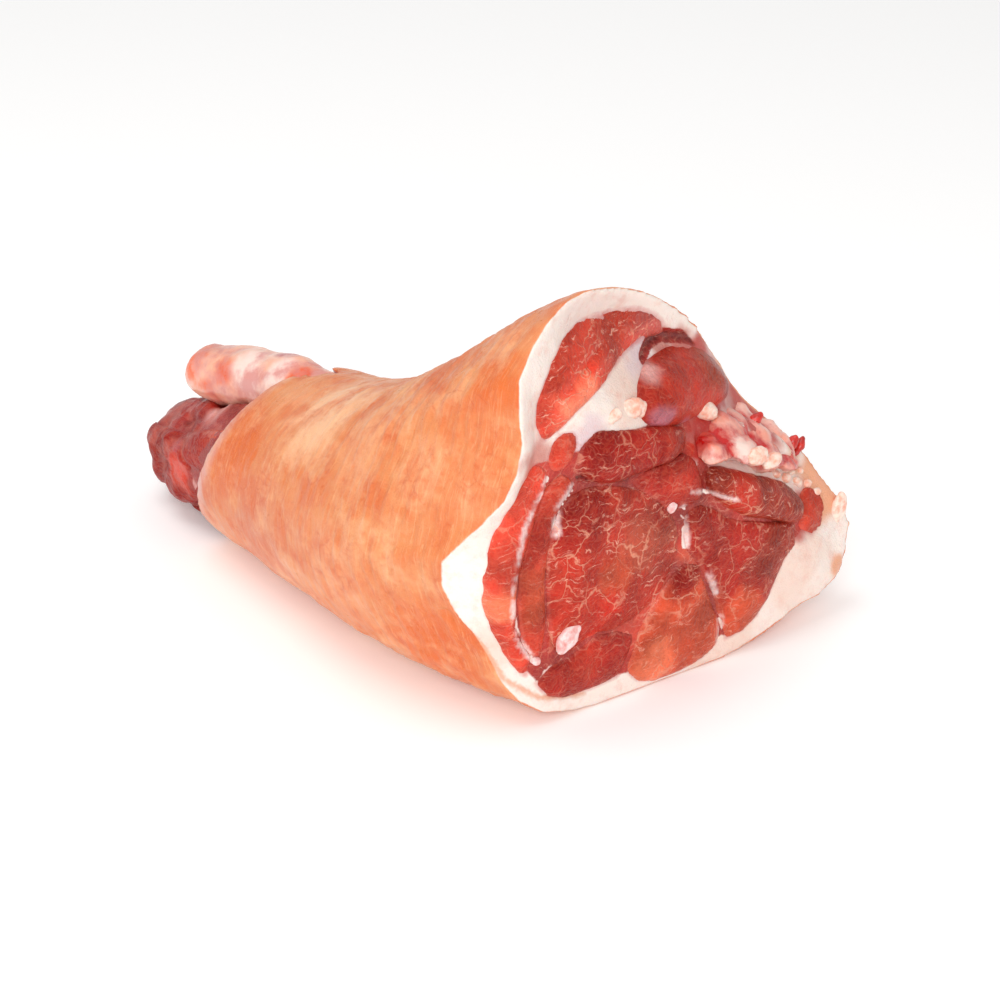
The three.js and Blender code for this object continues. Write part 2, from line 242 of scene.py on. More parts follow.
def skin_and_cut_trees(solid, lining):
    """Search trees of the rind's faces and of the faces of the cut, told apart by the sharp rim."""
    mesh = solid.data
    neighbours = {}
    for face in mesh.polygons:
        for key in face.edge_keys:
            neighbours.setdefault(key, []).append(face.index)
    start = min(mesh.polygons, key=lambda face: face.center.y)
    skin = {start.index}
    waiting = [start.index]
    while waiting:
        face = mesh.polygons[waiting.pop()]
        for key in face.edge_keys:
            for index in neighbours[key]:
                if index not in skin and face.normal.dot(mesh.polygons[index].normal) > RIM_TURN:
                    skin.add(index)
                    waiting.append(index)
    corners = [vertex.co.copy() for vertex in mesh.vertices]
    skin_faces = [tuple(mesh.polygons[index].vertices) for index in skin]
    cut_faces = [
        tuple(face.vertices) for face in mesh.polygons
        if face.index not in skin
        and lining.ray_cast(face.center, face.normal, LINING_REACH)[0] is None
    ]
    return BVHTree.FromPolygons(corners, skin_faces), BVHTree.FromPolygons(corners, cut_faces)


lean_tree = tree_of(*(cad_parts[name] for name in MUSCLE_NODES + BONE_NODES))
rind = merged_copy("rind_and_fat", "rind_and_fat_skin")
fat_tree = tree_of(rind)
skin_tree, cut_tree = skin_and_cut_trees(rind, lean_tree)
plugs = [plug(name, PLUG_RECESS) for name in MUSCLE_NODES]
join_into(rind, plugs + [plug("knuckle_bone", KNUCKLE_RECESS)])
even_skin(rind, RIND_VOXEL, RIND_SMOOTHING)

# Lines across the cut, each a row of y and z in mm with a width: the white sinew between muscles, the
# creases where a seam has opened, sunk and darkened with painted shade, and the fold below the rind at the
# lower left.
WHITE_SEAMS = [
    ([(-60, 110), (-72, 92), (-76, 70), (-76, 55), (-72, 42), (-65, 31)], 1.5),
    ([(9, 78), (11, 60)], 1.7),
    ([(23, 45), (28, 33)], 1.3),
    ([(31, 20), (31, 6)], 2.0),
    ([(-56, 86), (-55, 96), (-48, 103)], 2.4),
    ([(12, 85), (24, 80), (34, 76)], 1.0),
]
SHADED_CREASES = [
    ([(2, 139), (8, 142), (18, 142), (30, 138), (46, 130)], 3.0),
    ([(20, 140), (34, 136), (50, 126), (58, 116)], 2.2),
    ([(-44, 106), (-20, 99), (4, 100)], 1.5),
]
FOLD = ([(-94, 54), (-84, 40), (-76, 24), (-62, 13), (-40, 8)], 1.1)
# The lean of the stump swells into soft lobes of this size and height round its middle.
LOBE_SIZE = 30 * MM
LOBE_HEIGHT = 4 * MM
STUMP_MIDDLE = np.array([-110, -60, 32]) * MM
# The tones of raw lean: brightest where it is freshly cut, dark and brown where the air has dried it.
SALMON = "#f87e5e"
LIGHT_RED = "#df6e4c"
BRIGHT_RED = "#d4402c"
ROSE_RED = "#ce5a50"
FRESH_RED = "#c43a26"
ORANGE_RED = "#c84a2c"
RED = "#b42c1c"
DEEP_RED = "#a42218"
DARK_RED = "#92140a"
DRY_RED = "#9e2e1e"
BROWN_RED = "#ac4430"
BLACK_RED = "#780c05"
CRIMSON = "#c8240f"
LILAC = "#bc6c78"
SHEATH = "#d29c96"
STUMP_TONES = (DARK_RED, [
    ((-100, -88, 30), 11, FRESH_RED), ((-110, -80, 55), 11, BLACK_RED), ((-92, -72, 60), 10, SHEATH),
    ((-130, -60, 50), 14, DEEP_RED), ((-104, -90, 44), 6, LILAC), ((-120, -84, 34), 9, BLACK_RED),
])


def near_line(rows, points, width):
    """One along a line across the cut, fading to nought just beyond its width in mm."""
    spots = rows[:, 1:] / MM
    nearest = np.full(len(rows), np.inf)
    for start, end in zip(np.array(points[:-1], float), np.array(points[1:], float)):
        along = end - start
        share = np.clip((spots - start) @ along / (along @ along), 0, 1)
        away = np.linalg.norm(spots - start - share[:, None] * along, axis=1)
        nearest = np.minimum(nearest, away)
    return 1 - smooth_step(nearest, 0.6 * width, 1.3 * width)


def lobe_cells(rows):
    """Nought at the edges of the stump's round lobes and one well inside them."""
    bent = rows + cloud(rows, 16 * MM, 13)[:, None] * 7 * MM
    nearest = np.array([noise.voronoi(Vector(row) / LOBE_SIZE)[0][:2] for row in bent])
    return smooth_step(nearest[:, 1] - nearest[:, 0], 0.0, 0.4)


def stump_tone(rows):
    """The stump's colours: dark red lobes, each in a pale sheath that is worn through in places."""
    worn = lobe_cells(rows) + 0.6 * cloud(rows, 8 * MM, 3)
    return blended(toned(rows, *STUMP_TONES, 9), "#b86458", 0.5 * (1 - smooth_step(worn, -0.1, 0.3)))


def lobed(rows):
    """The stump's soft lobes: its lean swells and sinks by a few millimetres behind the rind."""
    out = rows - STUMP_MIDDLE
    out[:, 0] = np.minimum(out[:, 0], 0)
    out /= np.maximum(np.linalg.norm(out, axis=1), 1 * MM)[:, None]
    bare = 1 - smooth_step(rows[:, 0], -100 * MM, -70 * MM)
    swell = (0.6 * lobe_cells(rows) + 0.6 * cloud(rows, 20 * MM, 8) - 0.4) * bare
    return rows + out * swell[:, None] * LOBE_HEIGHT


rind_places = rows_of(rind)
gap_to = {name: distances(rind_places, tree_of(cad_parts[name])) for name in MUSCLE_NODES}
to_lean = np.min(list(gap_to.values()), axis=0)
second_gap = np.sort([gap for name, gap in gap_to.items() if name != "muscle_corner"], axis=0)[1]
# The distance from the rim is below nought on the cut. The rind has drawn back more at the right.
from_rim = distances(rind_places, cut_tree) - distances(rind_places, skin_tree)
from_rim += 1.5 * MM * smooth_step(rind_places[:, 1], 10 * MM, 60 * MM)
inside = 1 - smooth_step(from_rim, -6 * MM, -3 * MM)
deep_inside = 1 - smooth_step(from_rim, -13 * MM, -8 * MM)
at_stump = 1 - smooth_step(rind_places[:, 0], -60 * MM, -30 * MM)
fold = near_line(rind_places, *FOLD) * smooth_step(rind_places[:, 0], 60 * MM, 80 * MM)
white_seam = np.max([near_line(rind_places, *seam) for seam in WHITE_SEAMS], axis=0)
white_seam *= smooth_step(cloud(rind_places, 6 * MM, 11), -0.5, 0.0)
# Along the creases lean is painted over the fat and the crease itself is darkened: painted shade in the gap.
beside_shaded_crease = np.max([near_line(rind_places, *line) for line in SHADED_CREASES], axis=0) * inside
shaded_crease = np.max([near_line(rind_places, line, width / 2) for line, width in SHADED_CREASES], axis=0) * inside
# Two muscles that lie close together have torn lean between them, but not up at the silver membrane.
below_membrane = 1 - smooth_step(rind_places[:, 2], 115 * MM, 120 * MM)
between = (1 - smooth_step(second_gap, 6.5 * MM, 9.0 * MM)) * deep_inside * below_membrane
# The lean painted along the creases is painted shade in the gap.
between = np.maximum(between, beside_shaded_crease)
meat = np.maximum(between * (1 - white_seam), at_stump * (1 - smooth_step(from_rim, -2 * MM, 0)))

# The rind's own relief in mm: broad lumps, and fine folds that run round the leg. The folds grow
# toward the lip and stay off the rim, except at the left, where they notch it.
on_rind = smooth_step(from_rim, 1 * MM, 8 * MM)
near_lip = smooth_step(rind_places[:, 0], 0.0, 80 * MM)
at_left = 1 - smooth_step(rind_places[:, 1], -75 * MM, -45 * MM)
off_rim = np.maximum(smooth_step(from_rim, 3 * MM, 20 * MM), 0.8 * at_left)
lumps = 0.8 * cloud(rind_places, 26 * MM, 1)
folds = cloud(rind_places * np.array([4.2, 0.7, 0.7]), 13 * MM, 2)
fine_folds = cloud(rind_places * np.array([5.0, 0.5, 0.5]), 6 * MM, 3)
height = on_rind * (lumps + off_rim * ((0.25 + 0.75 * near_lip) * folds + 0.32 * fine_folds))
height += (1 - on_rind) * 0.2 * cloud(rind_places, 6 * MM, 4)
height += (-0.3 * meat - 1.5 * shaded_crease) * inside - 0.9 * fold
lobed_places = np.where(from_rim[:, None] < 0, lobed(rind_places), rind_places)
put_places(rind, lobed_places + rows_of(rind, "normal") * height[:, None] * MM)

# The knife leaves an even edge, so the steps that the voxels leave along the rim are relaxed away.
on_rim = (1 - smooth_step(np.abs(from_rim), 2 * MM, 6 * MM)) * (1 - 0.7 * at_left)
rim_group = rind.vertex_groups.new(name="rim")
for index in np.flatnonzero(on_rim):
    rim_group.add([int(index)], float(on_rim[index]), "REPLACE")
shape(rind, "SMOOTH", factor=0.5, iterations=RIM_SMOOTHING, vertex_group="rim")
rind.vertex_groups.clear()
paint_value(rind, "from_rim", from_rim / MM)
paint_value(rind, "to_lean", to_lean / MM)
paint_value(rind, "meat", meat)
paint_value(rind, "to_fat", np.full(len(rind_places), 9.0))
paint_value(rind, "marbling", 0.3 * (1 - 0.85 * at_stump))

# Each tone patch is a place in mm, on the cut its y and z alone, with its radius and its colour.
# The rind is palest on top, where the peach patch is a painted highlight, and orange where the scald has
# caught it.
PEACH_HIGHLIGHT = "#fdbf92"
LIGHT_TAN = "#ef9e6b"
TAN = "#e9935e"
BROWN_TAN = "#dc7f54"
ORANGE = "#e2702f"
PINK_TAN = "#eeb095"
RIND_GROUND = "#e58a52"
RIND_PATCHES = [
    ((0, -70, 105), 40, LIGHT_TAN), ((11, -78, 98), 27, PEACH_HIGHLIGHT), ((59, -92, 106), 24, LIGHT_TAN),
    ((75, -66, 135), 28, BROWN_TAN), ((104, -48, 162), 30, BROWN_TAN), ((133, -79, 147), 20, ORANGE),
    ((130, -82, 128), 18, RIND_GROUND), ((126, -88, 110), 16, TAN), ((103, -96, 112), 14, LIGHT_TAN),
    ((-39, -98, 59), 22, ORANGE), ((-30, -95, 75), 14, ORANGE), ((-9, -102, 36), 30, BROWN_TAN),
    ((57, -109, 52), 24, LIGHT_TAN), ((31, -106, 63), 18, TAN), ((85, -104, 70), 20, RIND_GROUND),
    ((120, -91, 51), 20, ORANGE), ((111, -97, 62), 13, RIND_GROUND), ((99, -89, 27), 24, ORANGE),
    ((134, -72, 16), 16, RIND_GROUND), ((-66, -92, 40), 20, BROWN_TAN), ((-84, -74, 62), 16, PINK_TAN),
    ((40, -100, 84), 12, RIND_GROUND), ((62, -50, 146), 18, TAN),
]
FAT_GROUND = "#f8e8de"
# The fat is white to cream, silver under the membrane, and pink to red where blood has stained it.
SILVER = "#e4cbcc"
WHITE_FAT = "#fff2e8"
CREAM = "#f3d8ca"
TAN_FAT = "#eaa884"
ROSE_FAT = "#cf8a7e"
FLESH = "#c2564c"
BLOOD = "#bc332a"
FAT_PATCHES = [
    ((-15, 137), 18, CREAM), ((0, 142), 12, SILVER), ((-41, 121), 12, SILVER),
    ((-66, 118), 12, ROSE_FAT), ((-100, 68), 26, WHITE_FAT), ((-82, 38), 14, CREAM),
    ((-17, 129), 10, CREAM), ((22, 104), 16, BLOOD), ((10, 112), 14, FLESH),
    ((-35, 104), 16, FLESH), ((64, 100), 16, FLESH), ((40, 106), 14, BLOOD),
    ((70, 92), 12, FLESH), ((96, 62), 12, TAN_FAT), ((84, 76), 10, TAN_FAT),
    ((16, 138), 8, ROSE_FAT), ((28, 136), 8, ROSE_FAT), ((40, 130), 8, FLESH),
    ((74, 34), 26, CREAM), ((30, 6), 24, CREAM), ((80, 52), 12, FLESH),
    ((91, 50), 9, TAN_FAT), ((100, 54), 7, TAN_FAT), ((100, 22), 6, TAN_FAT),
]
SEAM_TONES = (DEEP_RED, [
    ((-30, 104), 14, DARK_RED), ((10, 98), 16, RED), ((45, 84), 16, CRIMSON),
    ((20, 60), 14, ORANGE_RED), ((-10, 36), 20, FRESH_RED), ((-64, 118), 12, RED),
])
fat_tones = blended(toned(rind_places, FAT_GROUND, FAT_PATCHES, 5), "#e59a6c", 0.7 * fold)
paint_colour(rind, "fat_tone", fat_tones)
# Along the creases the lean in the seams is darkened by half: painted shade.
seam_tones = toned(rind_places, *SEAM_TONES, 7) * (1 - 0.5 * shaded_crease)[:, None]
paint_colour(rind, "lean_tone", blended(seam_tones, stump_tone(rind_places), at_stump))
rind_tones = toned(rind_places, RIND_GROUND, RIND_PATCHES, 6)
collar = 0.75 * at_stump * (1 - smooth_step(from_rim, 2 * MM, 9 * MM))
paint_colour(rind, "rind_tone", blended(rind_tones, "#e6b7b4", collar))

# The sockets of a Mix node that is set to colours: the share, the two colours and what comes out.
SHARE, UNDER, OVER, MIXED = 0, 6, 7, 2


def spacing(size):
    """The scale of a pattern whose cells are this many mm across."""
    return 1 / (size * MM)


def lean_look(material, place):
    """Raw lean cut across its fibres: its colour, relief and gloss.

    To the eye it is wet bundles of fibre, 2 to 3 mm thick, with a broken net of cream fat between
    groups of them, short flecks of fat along the seams that are also painted glints of the wet surface,
    and a pale skin at the muscle's edge.
    """
    tone = add(material, "ShaderNodeAttribute", {"attribute_name": "lean_tone"}, {}).outputs["Color"]
    edge = add(material, "ShaderNodeAttribute", {"attribute_name": "to_fat"}, {}).outputs["Fac"]
    marbling = add(material, "ShaderNodeAttribute", {"attribute_name": "marbling"}, {}).outputs["Fac"]
    # The patterns are bent by a slow wander and drawn out along the leg, as the fibres run.
    wander = add(material, "ShaderNodeTexNoise", {},
                 {"Vector": place, "Scale": spacing(9.1), "Detail": 3.0}).outputs["Color"]
    shifted = add(material, "ShaderNodeVectorMath", {"operation": "MULTIPLY_ADD"},
                  {0: wander, 1: (12 * MM, 12 * MM, 12 * MM), 2: place})
    grain = add(material, "ShaderNodeMapping", {}, {"Vector": shifted.outputs[0], "Scale": (0.25, 1.0, 1.0)})
    streak_place = add(material, "ShaderNodeMapping", {},
                       {"Vector": shifted.outputs[0], "Rotation": (0.9, 0.0, 0.0), "Scale": (0.5, 0.6, 3.2)})
    # Groups of fibre are 11 mm across and their bundles 2.4 mm, in 18 mm patches, with a 1.4 mm speckle.
    net = add(material, "ShaderNodeTexVoronoi", {"feature": "DISTANCE_TO_EDGE"},
              {"Vector": grain.outputs[0], "Scale": spacing(11.4)}).outputs["Distance"]
    patchy = add(material, "ShaderNodeTexNoise", {},
                 {"Vector": grain.outputs[0], "Scale": spacing(18), "Detail": 4.0}).outputs[0]
    bundles = add(material, "ShaderNodeTexVoronoi", {"feature": "DISTANCE_TO_EDGE"},
                  {"Vector": grain.outputs[0], "Scale": spacing(2.4)}).outputs["Distance"]
    speckle = add(material, "ShaderNodeTexNoise", {},
                  {"Vector": place, "Scale": spacing(1.4), "Detail": 3.0}).outputs[0]

    # Cream fat runs between the groups of fibre, broken where the meat is densest.
    vein = add(material, "ShaderNodeMapRange", {},
               {"Value": net, "From Min": 0.004, "From Max": 0.034, "To Min": 1.0, "To Max": 0.0})
    broken = add(material, "ShaderNodeMapRange", {}, {"Value": patchy, "From Min": 0.42, "From Max": 0.58})
    kept_vein = add(material, "ShaderNodeMath", {"operation": "MULTIPLY"},
                    {0: vein.outputs[0], 1: broken.outputs[0]})
    vein_share = add(material, "ShaderNodeMath", {"operation": "MULTIPLY"},
                     {0: kept_vein.outputs[0], 1: marbling})
    bundle_line = add(material, "ShaderNodeMapRange", {},
                      {"Value": bundles, "From Min": 0.02, "From Max": 0.14, "To Min": 0.12, "To Max": 0.0})

    # The tone painted on the piece is shaded by the patches and specked with dark blood.
    shade = add(material, "ShaderNodeMapRange", {},
                {"Value": patchy, "From Min": 0.35, "From Max": 0.65, "To Min": 0.68, "To Max": 1.32})
    shaded = add(material, "ShaderNodeVectorMath", {"operation": "SCALE"},
                 {0: tone, "Scale": shade.outputs[0]})
    speck_share = add(material, "ShaderNodeMapRange", {},
                      {"Value": speckle, "From Min": 0.5, "From Max": 0.75, "To Max": 0.25})
    specked = add(material, "ShaderNodeMix", {"data_type": "RGBA"},
                  {SHARE: speck_share.outputs[0], UNDER: shaded.outputs[0], OVER: opaque("#8c0d06")})
    lined = add(material, "ShaderNodeMix", {"data_type": "RGBA"},
                {SHARE: bundle_line.outputs[0], UNDER: specked.outputs[MIXED], OVER: opaque("#ee7a58")})
    # Flecks of fat, about 4 mm long, lie all one way across the fibres; they are also painted glints of the
    # wet surface.
    streaks = add(material, "ShaderNodeTexNoise", {},
                  {"Vector": streak_place.outputs[0], "Scale": spacing(3.8), "Detail": 4.0,
                   "Roughness": 0.7}).outputs[0]
    fleck_and_glint = add(material, "ShaderNodeMapRange", {},
                {"Value": streaks, "From Min": 0.57, "From Max": 0.67, "To Max": 1.1})
    fleck_and_glint_share = add(material, "ShaderNodeMath", {"operation": "MULTIPLY", "use_clamp": True},
                      {0: fleck_and_glint.outputs[0], 1: marbling})
    flecked_and_glinted = add(material, "ShaderNodeMix", {"data_type": "RGBA"},
                  {SHARE: fleck_and_glint_share.outputs[0], UNDER: lined.outputs[MIXED], OVER: opaque("#f8bca4")})
    veined = add(material, "ShaderNodeMix", {"data_type": "RGBA"},
                 {SHARE: vein_share.outputs[0], UNDER: flecked_and_glinted.outputs[MIXED], OVER: opaque("#efa88a")})
    # Each muscle wears a thin pale skin where it meets the fat.
    uneven_edge = add(material, "ShaderNodeMath", {"operation": "MULTIPLY_ADD"},
                      {0: patchy, 1: -2.4, 2: edge})
    skin_share = add(material, "ShaderNodeMapRange", {},
                     {"Value": uneven_edge.outputs[0], "From Min": -1.1, "From Max": -0.3,
                      "To Min": 0.12, "To Max": 0.0})
    colour = add(material, "ShaderNodeMix", {"data_type": "RGBA"},
                 {SHARE: skin_share.outputs[0], UNDER: veined.outputs[MIXED], OVER: opaque("#e09a8c")})
    gloss = add(material, "ShaderNodeMapRange", {},
                {"Value": patchy, "From Min": 0.3, "From Max": 0.7, "To Min": 0.26, "To Max": 0.45})
    raised = add(material, "ShaderNodeMath", {"operation": "MULTIPLY_ADD"},
                 {0: vein_share.outputs[0], 1: 0.6, 2: speckle})
    relief = add(material, "ShaderNodeMath", {"operation": "MULTIPLY_ADD"},
                 {0: bundles, 1: 1.1, 2: raised.outputs[0]})
    return colour.outputs[MIXED], relief.outputs[0], gloss.outputs[0]


def rind_and_fat_material():
    """Scalded pigskin that turns to firm back fat at the painted rim.

    To the eye the skin is satin, mottled in soft 16 mm clouds, with 1 mm hair lines round the leg,
    pores and faint wrinkles. The fat is moist and white, flushed pink where it meets the lean.
    """
    material = new_material("pork_rind_and_fat")
    place = add(material, "ShaderNodeTexCoord", {}, {}).outputs["Object"]
    rim = add(material, "ShaderNodeAttribute", {"attribute_name": "from_rim"}, {}).outputs["Fac"]
    lean = add(material, "ShaderNodeAttribute", {"attribute_name": "to_lean"}, {}).outputs["Fac"]
    rind_tone = add(material, "ShaderNodeAttribute", {"attribute_name": "rind_tone"}, {}).outputs["Color"]
    fat_tone = add(material, "ShaderNodeAttribute", {"attribute_name": "fat_tone"}, {}).outputs["Color"]

    # The hair lines run round the leg, so their pattern is drawn out that way.
    around = add(material, "ShaderNodeMapping", {}, {"Vector": place, "Scale": (1.0, 0.08, 0.08)})
    hairs = add(material, "ShaderNodeTexNoise", {},
                {"Vector": around.outputs[0], "Scale": spacing(1.2), "Detail": 5.0, "Roughness": 0.75,
                 "Distortion": 1.2}).outputs[0]
    mottle = add(material, "ShaderNodeTexNoise", {},
                 {"Vector": place, "Scale": spacing(16), "Detail": 5.0, "Roughness": 0.62}).outputs[0]
    pores = add(material, "ShaderNodeTexNoise", {},
                {"Vector": place, "Scale": spacing(0.77), "Detail": 2.0}).outputs[0]

    # Blush and pale clouds lie over the painted tone, then the hair lines and the pores. The pale clouds are
    # painted highlights on the satin skin.
    mottled = add(material, "ShaderNodeMapRange", {},
                  {"Value": mottle, "From Min": 0.42, "From Max": 0.62, "To Max": 0.6})
    warmed = add(material, "ShaderNodeMix", {"data_type": "RGBA"},
                 {SHARE: mottled.outputs[0], UNDER: rind_tone, OVER: opaque("#dc642c")})
    highlight_clouds = add(material, "ShaderNodeTexNoise", {},
               {"Vector": place, "Scale": spacing(29), "Detail": 4.0, "Roughness": 0.7}).outputs[0]
    highlight_share = add(material, "ShaderNodeMapRange", {},
                     {"Value": highlight_clouds, "From Min": 0.5, "From Max": 0.68, "To Max": 0.55})
    highlighted = add(material, "ShaderNodeMix", {"data_type": "RGBA"},
                    {SHARE: highlight_share.outputs[0], UNDER: warmed.outputs[MIXED], OVER: opaque("#fdc290")})
    hair_share = add(material, "ShaderNodeMapRange", {},
                     {"Value": hairs, "From Min": 0.52, "From Max": 0.72, "To Max": 0.4})
    haired = add(material, "ShaderNodeMix", {"data_type": "RGBA"},
                 {SHARE: hair_share.outputs[0], UNDER: highlighted.outputs[MIXED], OVER: opaque("#ffcf9e")})
    pore_share = add(material, "ShaderNodeMapRange", {},
                     {"Value": pores, "From Min": 0.6, "From Max": 0.75, "To Max": 0.3})
    pored = add(material, "ShaderNodeMix", {"data_type": "RGBA"},
                {SHARE: pore_share.outputs[0], UNDER: haired.outputs[MIXED], OVER: opaque("#c96a42")})
    # The faint wrinkles are the edges of bent 18 mm cells, which show only here and there.
    drift = add(material, "ShaderNodeTexNoise", {},
                {"Vector": place, "Scale": spacing(22), "Detail": 3.0}).outputs["Color"]
    drifted = add(material, "ShaderNodeVectorMath", {"operation": "MULTIPLY_ADD"},
                  {0: drift, 1: (50 * MM, 50 * MM, 50 * MM), 2: place})
    lines = add(material, "ShaderNodeTexVoronoi", {"feature": "DISTANCE_TO_EDGE"},
                {"Vector": drifted.outputs[0], "Scale": spacing(18)}).outputs["Distance"]
    wrinkle = add(material, "ShaderNodeMapRange", {},
                  {"Value": lines, "From Min": 0.0, "From Max": 0.06, "To Min": 1.0, "To Max": 0.0})
    some = add(material, "ShaderNodeMapRange", {},
               {"Value": mottle, "From Min": 0.46, "From Max": 0.6, "To Max": 0.45})
    wrinkle_share = add(material, "ShaderNodeMath", {"operation": "MULTIPLY"},
                        {0: wrinkle.outputs[0], 1: some.outputs[0]})
    rind_colour = add(material, "ShaderNodeMix", {"data_type": "RGBA"},
                      {SHARE: wrinkle_share.outputs[0], UNDER: pored.outputs[MIXED], OVER: opaque("#d4602f")})

    # The fat is flushed in 6 mm spots and stained by the lean beside it.
    fat_mottle = add(material, "ShaderNodeTexNoise", {},
                     {"Vector": place, "Scale": spacing(6.25), "Detail": 5.0, "Roughness": 0.65}).outputs[0]
    flushed = add(material, "ShaderNodeMapRange", {},
                  {"Value": fat_mottle, "From Min": 0.5, "From Max": 0.72, "To Max": 0.4})
    fat_colour = add(material, "ShaderNodeMix", {"data_type": "RGBA"},
                     {SHARE: flushed.outputs[0], UNDER: fat_tone, OVER: opaque("#e8a894")})
    ragged = add(material, "ShaderNodeMath", {"operation": "MULTIPLY_ADD"},
                 {0: fat_mottle, 1: 3.0, 2: lean})
    stained = add(material, "ShaderNodeMapRange", {},
                  {"Value": ragged.outputs[0], "From Min": 1.3, "From Max": 3.4,
                   "To Min": 0.75, "To Max": 0.0})
    fat_stained = add(material, "ShaderNodeMix", {"data_type": "RGBA"},
                      {SHARE: stained.outputs[0], UNDER: fat_colour.outputs[MIXED], OVER: opaque("#c8504a")})

    # The painted rim between the rind and the fat wanders by a millimetre or two.
    uneven_rim = add(material, "ShaderNodeMath", {"operation": "MULTIPLY_ADD"},
                     {0: mottle, 1: 3.0, 2: rim})
    is_rind = add(material, "ShaderNodeMapRange", {},
                  {"Value": uneven_rim.outputs[0], "From Min": 1.3, "From Max": 2.1})
    meat = add(material, "ShaderNodeAttribute", {"attribute_name": "meat"}, {}).outputs["Fac"]
    lean_colour, lean_relief, lean_gloss = lean_look(material, place)
    # Torn lean shows in the seams of the cut and all over the stump.
    ragged_meat = add(material, "ShaderNodeMath", {"operation": "MULTIPLY_ADD"},
                      {0: fat_mottle, 1: 0.8, 2: meat})
    is_meat = add(material, "ShaderNodeMapRange", {},
                  {"Value": ragged_meat.outputs[0], "From Min": 0.78, "From Max": 1.05})
    fat_or_lean = add(material, "ShaderNodeMix", {"data_type": "RGBA"},
                      {SHARE: is_meat.outputs[0], UNDER: fat_stained.outputs[MIXED], OVER: lean_colour})
    colour = add(material, "ShaderNodeMix", {"data_type": "RGBA"},
                 {SHARE: is_rind.outputs[0], UNDER: fat_or_lean.outputs[MIXED],
                  OVER: rind_colour.outputs[MIXED]})
    gloss = add(material, "ShaderNodeMapRange", {},
                {"Value": mottle, "From Min": 0.3, "From Max": 0.7, "To Min": 0.26, "To Max": 0.46})
    furrowed = add(material, "ShaderNodeMath", {"operation": "MULTIPLY_ADD"},
                   {0: wrinkle_share.outputs[0], 1: -0.8, 2: pores})
    relief = add(material, "ShaderNodeMath", {"operation": "MULTIPLY_ADD"},
                 {0: hairs, 1: 1.2, 2: furrowed.outputs[0]})
    bump = add(material, "ShaderNodeBump", {},
               {"Strength": 0.5, "Distance": 0.6 * MM, "Height": relief.outputs[0]})
    surface = add(material, "ShaderNodeBsdfPrincipled", {},
                  {"Base Color": colour.outputs[MIXED], "Roughness": gloss.outputs[0],
                   "Normal": bump.outputs[0], "Specular IOR Level": 0.35, "Subsurface Weight": 0.18,
                   "Subsurface Radius": (1.0, 0.45, 0.3), "Subsurface Scale": 3 * MM,
                   "Coat Weight": 0.2, "Coat Roughness": 0.1})
    add(material, "ShaderNodeOutputMaterial", {}, {"Surface": surface.outputs[0]})
    return material


rind.data.materials.append(rind_and_fat_material())
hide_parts("rind_and_fat")
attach(rind, "root")

# The muscles that the cut crosses: wet raw pork, fresh red to brown where the air has dried it.
# Cream marbling runs as a net of thin veins, and each muscle wears a pale skin at its edge.
# They are one flesh with the fat round them, and their cut ends dome a little as they relax.
MUSCLE_VOXEL = 1.2 * MM
MUSCLE_SMOOTHING = 3
SWELL_SIZE, SWELL_HEIGHT = 22 * MM, 1.8 * MM
BUNDLE_SIZE, BUNDLE_HEIGHT = 6 * MM, 0.7 * MM
# Near the cut each muscle is widened by this much, to close its seam with the next.
SEAM_CLOSING = 1.5 * MM
WIDE_CLOSING = {"muscle_shoulder_dome": 3.6 * MM, "muscle_corner": 4 * MM}
CLOSING_FROM, CLOSING_FULL = 30 * MM, 12 * MM
MUSCLE_TONES = {
    "muscle_top": (BRIGHT_RED, [
        ((-46, 139), 15, SALMON), ((-50, 154), 14, BRIGHT_RED), ((12, 154), 20, ROSE_RED),
        ((-20, 160), 14, FRESH_RED)]),
    "muscle_shoulder_dome": (RED, [
        ((-2, 120), 7, LILAC), ((14, 109), 6, LILAC), ((28, 106), 6, LILAC),
        ((40, 130), 16, BROWN_RED), ((22, 124), 13, RED), ((55, 112), 12, DARK_RED),
        ((30, 143), 6, SHEATH), ((0, 138), 7, SHEATH)]),
    "muscle_small_notch": (FRESH_RED, []),
    "muscle_upper_middle": (DARK_RED, [((8, 110), 12, RED), ((-15, 112), 10, DEEP_RED)]),
    "muscle_left_outer": (BRIGHT_RED, [((-79, 60), 10, LIGHT_RED)]),
    "muscle_left_inner": (FRESH_RED, [((-64, 60), 14, ORANGE_RED), ((-66, 88), 12, RED)]),
    "muscle_centre": (RED, [
        ((-44, 90), 17, DARK_RED), ((-2, 74), 18, BROWN_RED), ((-16, 68), 14, BROWN_RED),
        ((-28, 60), 10, ORANGE_RED), ((-32, 40), 13, CRIMSON), ((0, 84), 12, DARK_RED),
        ((-46, 64), 10, RED)]),
    "muscle_bottom_left": (DEEP_RED, [((-40, 22), 10, RED), ((-20, 20), 10, DEEP_RED)]),
    "muscle_bottom_middle": (ORANGE_RED, [((10, 48), 12, DARK_RED), ((-4, 12), 12, LIGHT_RED)]),
    "muscle_right": (DEEP_RED, [((60, 44), 18, DRY_RED), ((40, 20), 15, ORANGE_RED)]),
    "muscle_under_knuckle": (DRY_RED, [((40, 78), 12, RED), ((60, 66), 14, DRY_RED)]),
    "muscle_middle_wedge": (DEEP_RED, [((5, 92), 9, RED)]),
    "muscle_corner": (FRESH_RED, []),
}
LEAST_MARBLING = 0.2
MARBLING = {
    "muscle_centre": 0.6, "muscle_top": 0.65, "muscle_shoulder_dome": 0.12, "muscle_left_outer": 0.35,
    "muscle_upper_middle": 0.4, "muscle_bottom_middle": 0.5, "muscle_under_knuckle": 0.6,
    "muscle_right": 0.45,
}


